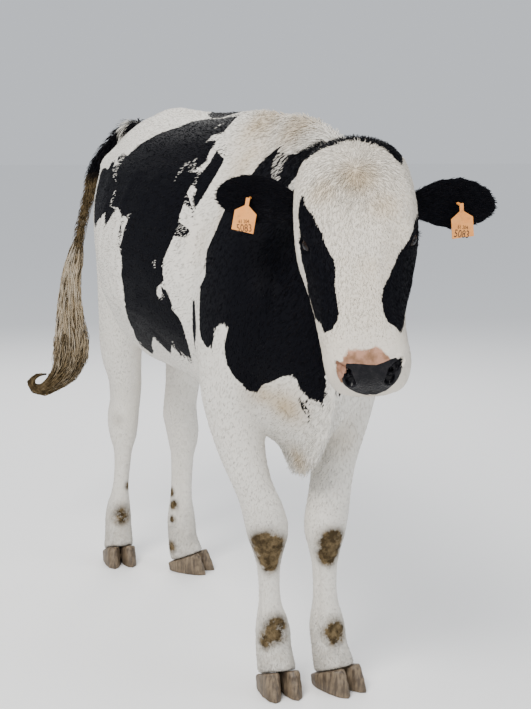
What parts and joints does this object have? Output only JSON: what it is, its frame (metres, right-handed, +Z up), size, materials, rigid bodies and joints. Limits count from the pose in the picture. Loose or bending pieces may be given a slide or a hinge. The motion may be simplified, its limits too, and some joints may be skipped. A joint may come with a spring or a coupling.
{
  "type": "cow",
  "caption": "Life-size young dairy cow standing with her head lowered and turned to her right, cloven feet on the floor, tail hanging, a tag in each ear.",
  "frame": {"origin": "centre of the bounding box on the floor, under the belly", "axes": "+Z up, the cow faces -Y with her tail at +Y, her left side is +X"},
  "size_m": [0.5726, 2.0322, 1.3713],
  "materials": {
    "hide": "short matt coat of hair, black patches on cream white",
    "switch_hair": "long wavy hair, cream to brown, dark at the end",
    "nose": "bare moist skin with fine grain, dark, pink in places",
    "horn": "dull horn with growth rings, soiled",
    "eye": "wet, dark brown",
    "tag": "satin flexible plastic, salmon orange"
  },
  "bodies": {
    "root": {"trunk": "hide", "neck": "hide", "head": "hide", "nose_pad": "nose", "left_eye": "eye", "right_eye": "eye", "left_ear": "hide", "right_ear": "hide", "left_ear_tag": "tag", "right_ear_tag": "tag", "dewlap": "hide", "udder": "hide", "tail_dock": "hide", "tail_switch": "switch_hair", "right_fore_upper_leg": "hide", "right_fore_lower_leg": "hide", "right_fore_foot": "hide", "right_fore_left_claw": "horn", "right_fore_right_claw": "horn", "right_fore_left_dewclaw": "horn", "right_fore_right_dewclaw": "horn", "left_fore_upper_leg": "hide", "left_fore_lower_leg": "hide", "left_fore_foot": "hide", "left_fore_left_claw": "horn", "left_fore_right_claw": "horn", "left_fore_left_dewclaw": "horn", "left_fore_right_dewclaw": "horn", "right_hind_upper_leg": "hide", "right_hind_lower_leg": "hide", "right_hind_foot": "hide", "right_hind_left_claw": "horn", "right_hind_right_claw": "horn", "right_hind_left_dewclaw": "horn", "right_hind_right_dewclaw": "horn", "left_hind_upper_leg": "hide", "left_hind_lower_leg": "hide", "left_hind_foot": "hide", "left_hind_left_claw": "horn", "left_hind_right_claw": "horn", "left_hind_left_dewclaw": "horn", "left_hind_right_dewclaw": "horn"}
  },
  "joints": []
}
